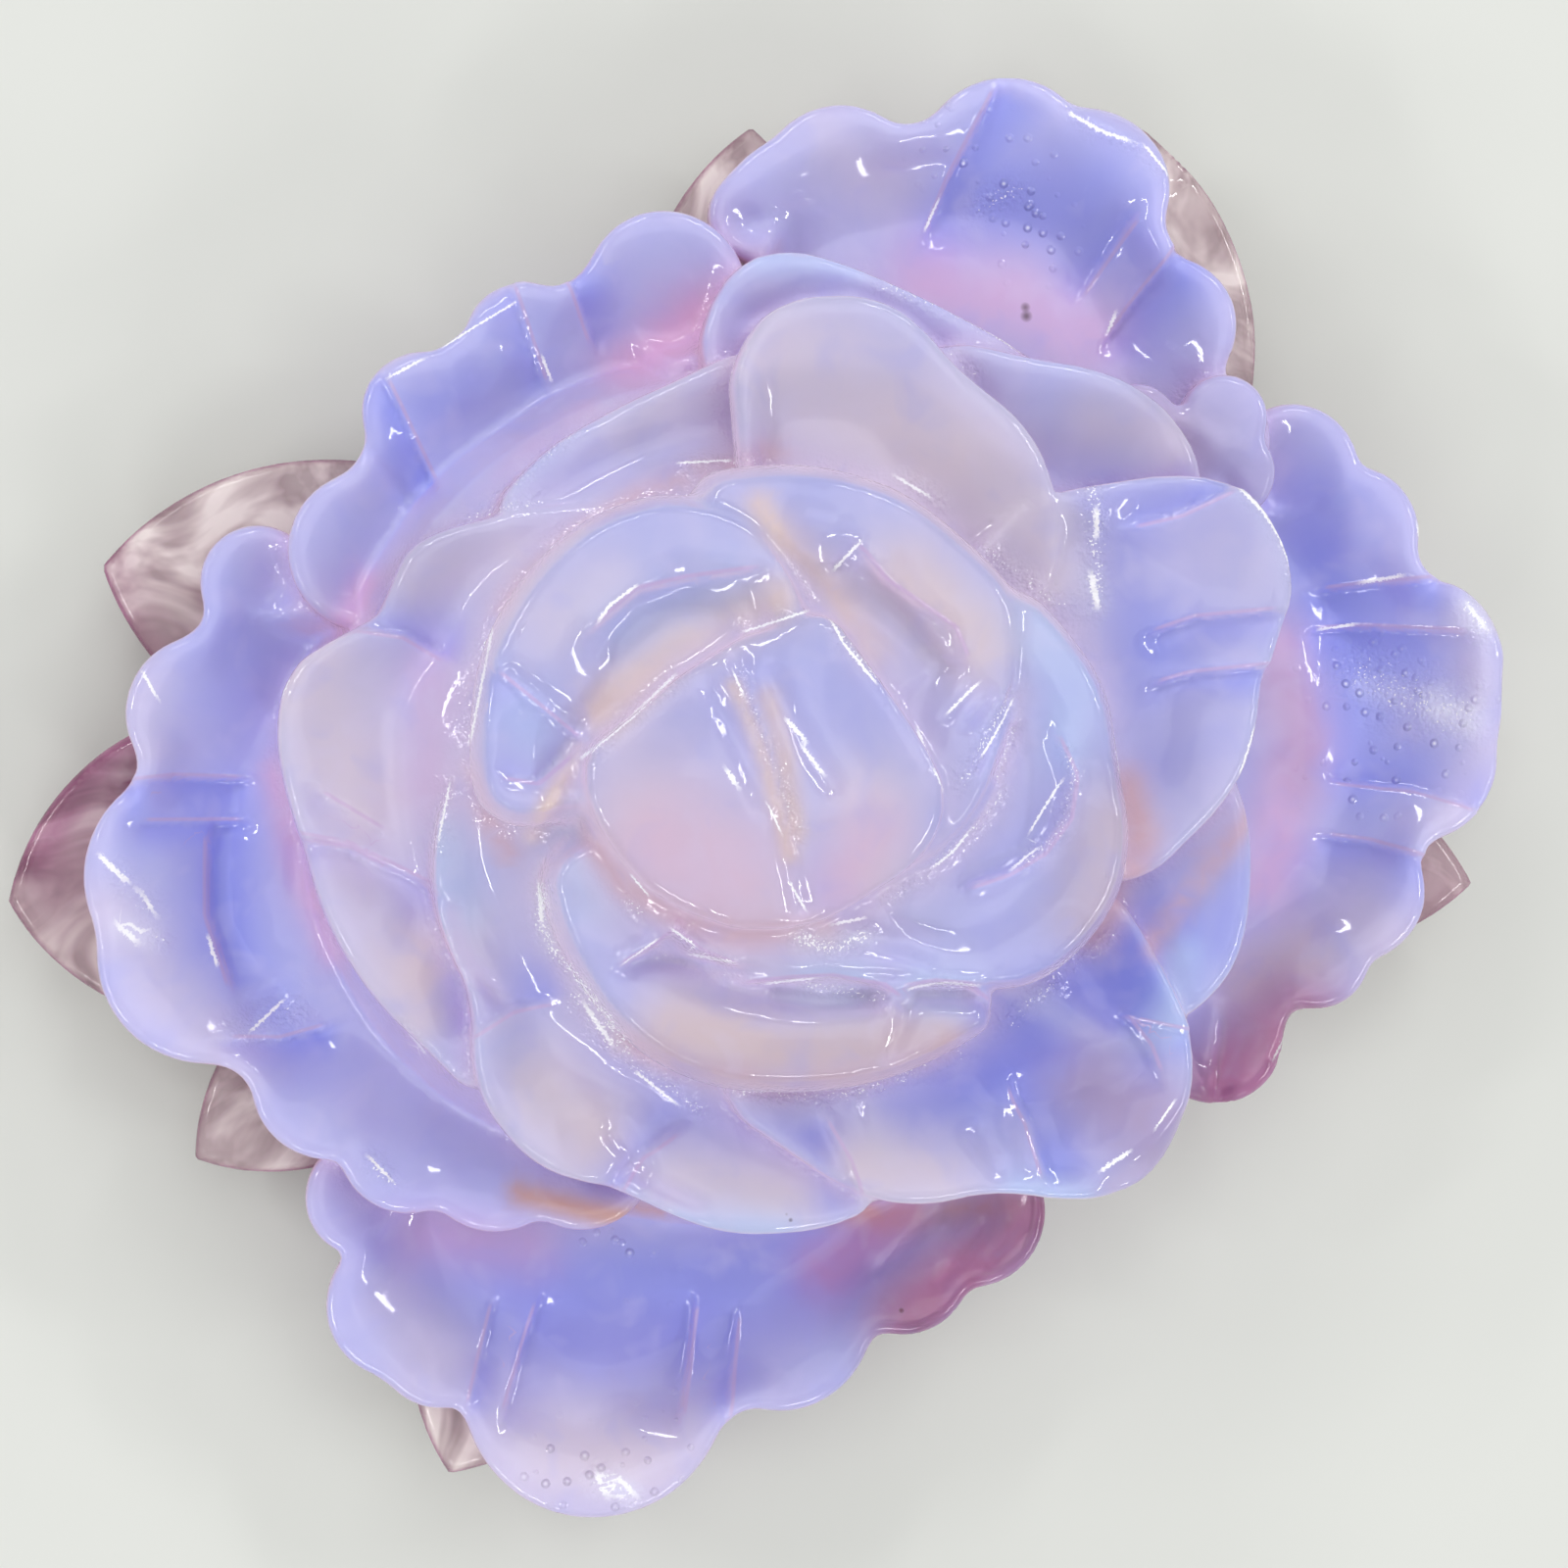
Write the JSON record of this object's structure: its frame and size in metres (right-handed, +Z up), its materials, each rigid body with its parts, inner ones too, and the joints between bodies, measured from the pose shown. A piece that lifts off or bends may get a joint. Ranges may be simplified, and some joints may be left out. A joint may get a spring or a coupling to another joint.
{
  "type": "carved stone flower",
  "caption": "Open rose carved from one piece of milky, opalescent stone, with scalloped petals, a closed bud and pointed leaves, to rest on a shelf.",
  "frame": {"origin": "middle of the flat face that the carving rests on", "axes": "+Z up out of the open flower, +Y towards the widest outer petal, +X towards the petal on its right"},
  "size_m": [0.1266, 0.1203, 0.0398],
  "materials": {
    "opal": "polished, milky translucent, periwinkle to lilac-pink, clear at the thin edges"
  },
  "bodies": {
    "root": {"flower_carving": "opal"}
  },
  "joints": []
}
